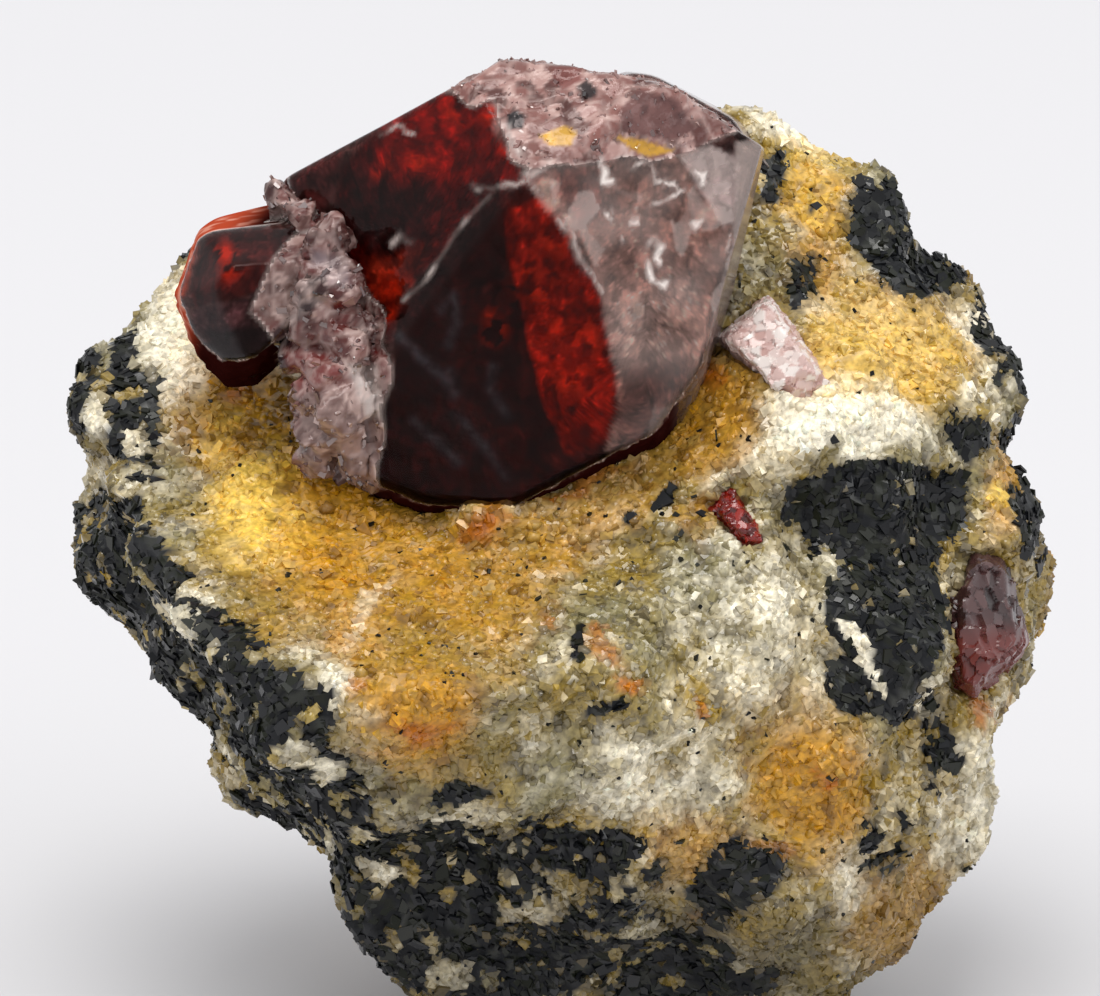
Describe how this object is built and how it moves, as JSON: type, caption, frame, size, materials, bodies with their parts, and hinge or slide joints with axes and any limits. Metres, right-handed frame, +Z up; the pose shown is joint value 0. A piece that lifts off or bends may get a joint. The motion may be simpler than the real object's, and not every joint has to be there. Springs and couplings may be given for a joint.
{
  "type": "zircon specimen",
  "caption": "Thumbnail mineral specimen: glassy dark red zircon crystals grown on a knob of sugary feldspar rock with black mica, cut flat at its foot to stand.",
  "frame": {"origin": "on the flat cut base, straight under the middle of the rock", "axes": "+Z up, out of the cut base; the display face looks towards -Y and leans back; +X to the right of someone who looks at that face"},
  "size_m": [0.03, 0.0264, 0.0312],
  "materials": {
    "feldspar": "sugary broken grain, stained ochre in places",
    "zircon_red": "glassy crystal faces, dark red, see-through at thin edges",
    "zircon_pink": "broken, sugary, pale pink",
    "zircon_brown": "dull red-brown crystal",
    "biotite": "black mica, flaky, with small shiny faces"
  },
  "bodies": {
    "root": {"matrix": "feldspar", "zircon_cluster": "zircon_red", "zircon_pink": "zircon_pink", "zircon_small": "zircon_red", "zircon_right": "zircon_brown", "biotite_right": "biotite", "biotite_crest": "biotite", "biotite_rim": "biotite", "biotite_flank": "biotite"}
  },
  "joints": []
}
